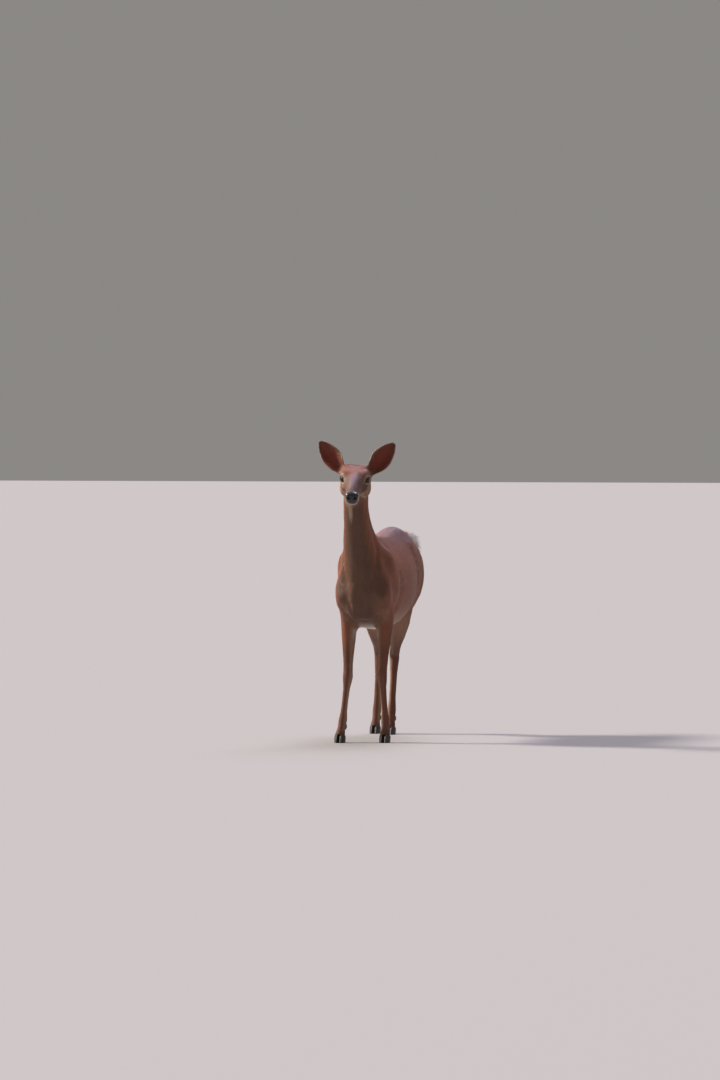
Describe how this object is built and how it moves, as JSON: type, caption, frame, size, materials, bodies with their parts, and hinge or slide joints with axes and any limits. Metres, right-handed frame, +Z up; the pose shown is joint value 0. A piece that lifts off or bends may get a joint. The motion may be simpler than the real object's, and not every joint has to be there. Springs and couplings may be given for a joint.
{
  "type": "white-tailed deer",
  "caption": "Life-size still model of a standing white-tailed doe in short summer coat, head up and ears spread, facing forwards.",
  "frame": {"origin": "centre of the bounding box in X and Y, on the floor under the feet", "axes": "+Z up, the doe faces -Y with its tail towards +Y, and its left side is towards +X"},
  "size_m": [0.3228, 1.359, 1.2746],
  "materials": {
    "coat": "short matt reddish-brown hair",
    "tail hair": "longer matt brown hair with a white fringe",
    "eye": "wet, glossy, very dark brown",
    "claw horn": "dull blackish horn"
  },
  "bodies": {
    "root": {"head": "coat", "neck": "coat", "trunk": "coat", "tail": "tail hair", "ear_left": "coat", "eye_left": "eye", "ear_right": "coat", "eye_right": "eye", "front_left_leg": "coat", "claw_front_left_outer": "claw horn", "dewclaw_front_left_outer": "claw horn", "claw_front_left_inner": "claw horn", "dewclaw_front_left_inner": "claw horn", "front_right_leg": "coat", "claw_front_right_outer": "claw horn", "dewclaw_front_right_outer": "claw horn", "claw_front_right_inner": "claw horn", "dewclaw_front_right_inner": "claw horn", "hind_left_leg": "coat", "claw_hind_left_outer": "claw horn", "dewclaw_hind_left_outer": "claw horn", "claw_hind_left_inner": "claw horn", "dewclaw_hind_left_inner": "claw horn", "hind_right_leg": "coat", "claw_hind_right_outer": "claw horn", "dewclaw_hind_right_outer": "claw horn", "claw_hind_right_inner": "claw horn", "dewclaw_hind_right_inner": "claw horn"}
  },
  "joints": []
}
